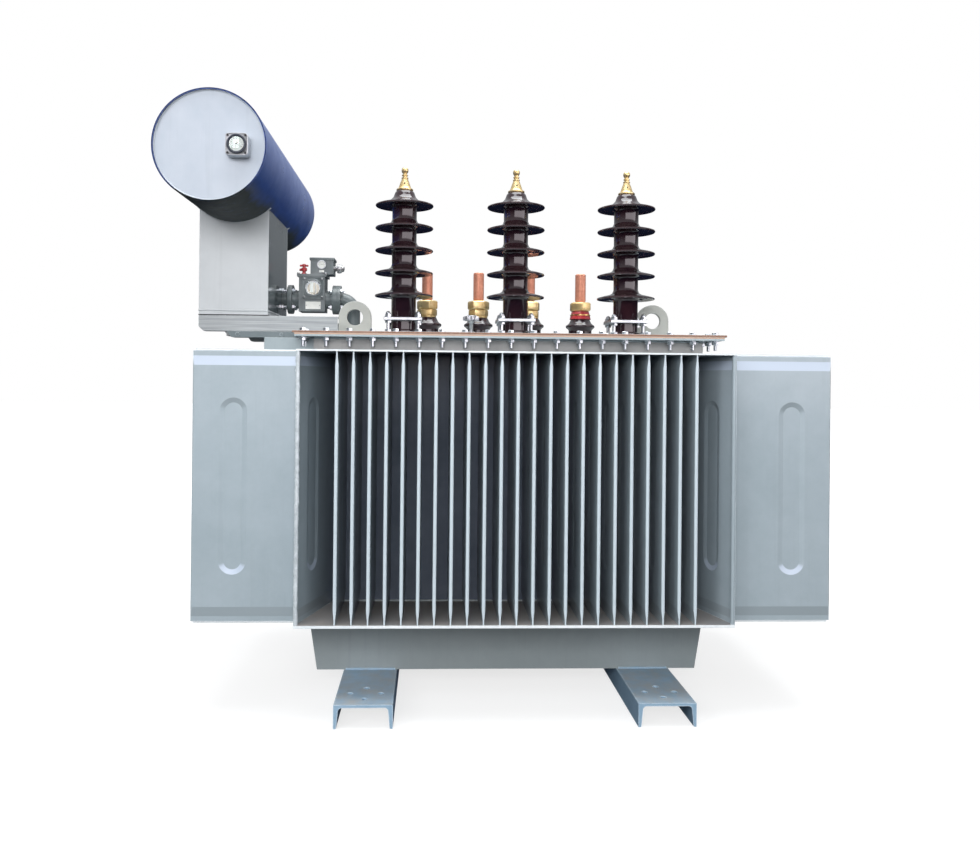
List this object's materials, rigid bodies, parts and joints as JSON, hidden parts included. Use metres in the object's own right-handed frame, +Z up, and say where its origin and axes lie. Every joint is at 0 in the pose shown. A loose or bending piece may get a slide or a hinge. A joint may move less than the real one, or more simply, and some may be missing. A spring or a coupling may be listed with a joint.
{
  "type": "oil-filled power transformer",
  "caption": "Oil-filled power transformer with corrugated fin tank, side conservator on a pedestal, gas relay, finned high-voltage bushings and low-voltage studs.",
  "frame": {"origin": "bottom centre of the bounding box, on the ground plane", "axes": "+X along the tank, away from the conservator; +Y from the high-voltage side to the low-voltage side; +Z up"},
  "size_m": [1.893, 1.037, 1.722],
  "materials": {
    "channel_paint": "blue-grey enamel on hot-rolled steel, worn at the edges",
    "tank_paint": "satin blue-grey enamel, dusty on flat faces",
    "fin_paint": "satin blue-grey enamel on thin pressed sheet",
    "cork_rubber": "brown cork-rubber sheet",
    "zinc_steel": "bright zinc plate",
    "brown_porcelain": "dark brown glaze, glossy",
    "brass": "machined brass",
    "copper": "turned copper, a little dull",
    "red_paint": "red enamel",
    "conservator_blue": "blue gloss enamel",
    "pale_paint": "pale blue-grey satin enamel",
    "gauge_aluminium": "cast aluminium, satin",
    "relay_grey": "dark grey enamel on cast iron"
  },
  "bodies": {
    "root": {"base_channel_left": "channel_paint", "base_channel_right": "channel_paint", "tank_bottom_box": "tank_paint", "tank_body": "tank_paint", "front_fins": "fin_paint", "rear_fins": "fin_paint", "right_fins": "fin_paint", "left_fins": "fin_paint", "front_fin_plates": "tank_paint", "rear_fin_plates": "tank_paint", "right_fin_plates": "tank_paint", "left_fin_plates": "tank_paint", "corner_fins_right": "fin_paint", "corner_fins_left": "fin_paint", "corner_walls_right": "fin_paint", "corner_walls_left": "fin_paint", "tank_rim": "tank_paint", "rim_flange": "tank_paint", "cover_gasket": "cork_rubber", "cover_plate": "tank_paint", "lifting_lugs": "tank_paint", "hv_bushing_1": "brown_porcelain", "hv_bushing_2": "brown_porcelain", "hv_bushing_3": "brown_porcelain", "hv_clamps": "zinc_steel", "hv_terminals": "brass", "lv_skirts": "brown_porcelain", "lv_collars": "brass", "neutral_collar": "red_paint", "lv_nuts": "brass", "lv_studs": "copper", "filler_knob": "zinc_steel", "conservator_shell": "conservator_blue", "conservator_ends": "pale_paint", "level_gauge": "gauge_aluminium", "pedestal_faces": "pale_paint", "pedestal_sides": "tank_paint", "pedestal_foot": "tank_paint", "platform_beams": "channel_paint", "platform_arms": "channel_paint", "support_blocks": "tank_paint", "relay_body": "relay_grey", "relay_head": "relay_grey", "relay_pipes": "relay_grey"}
  },
  "joints": []
}
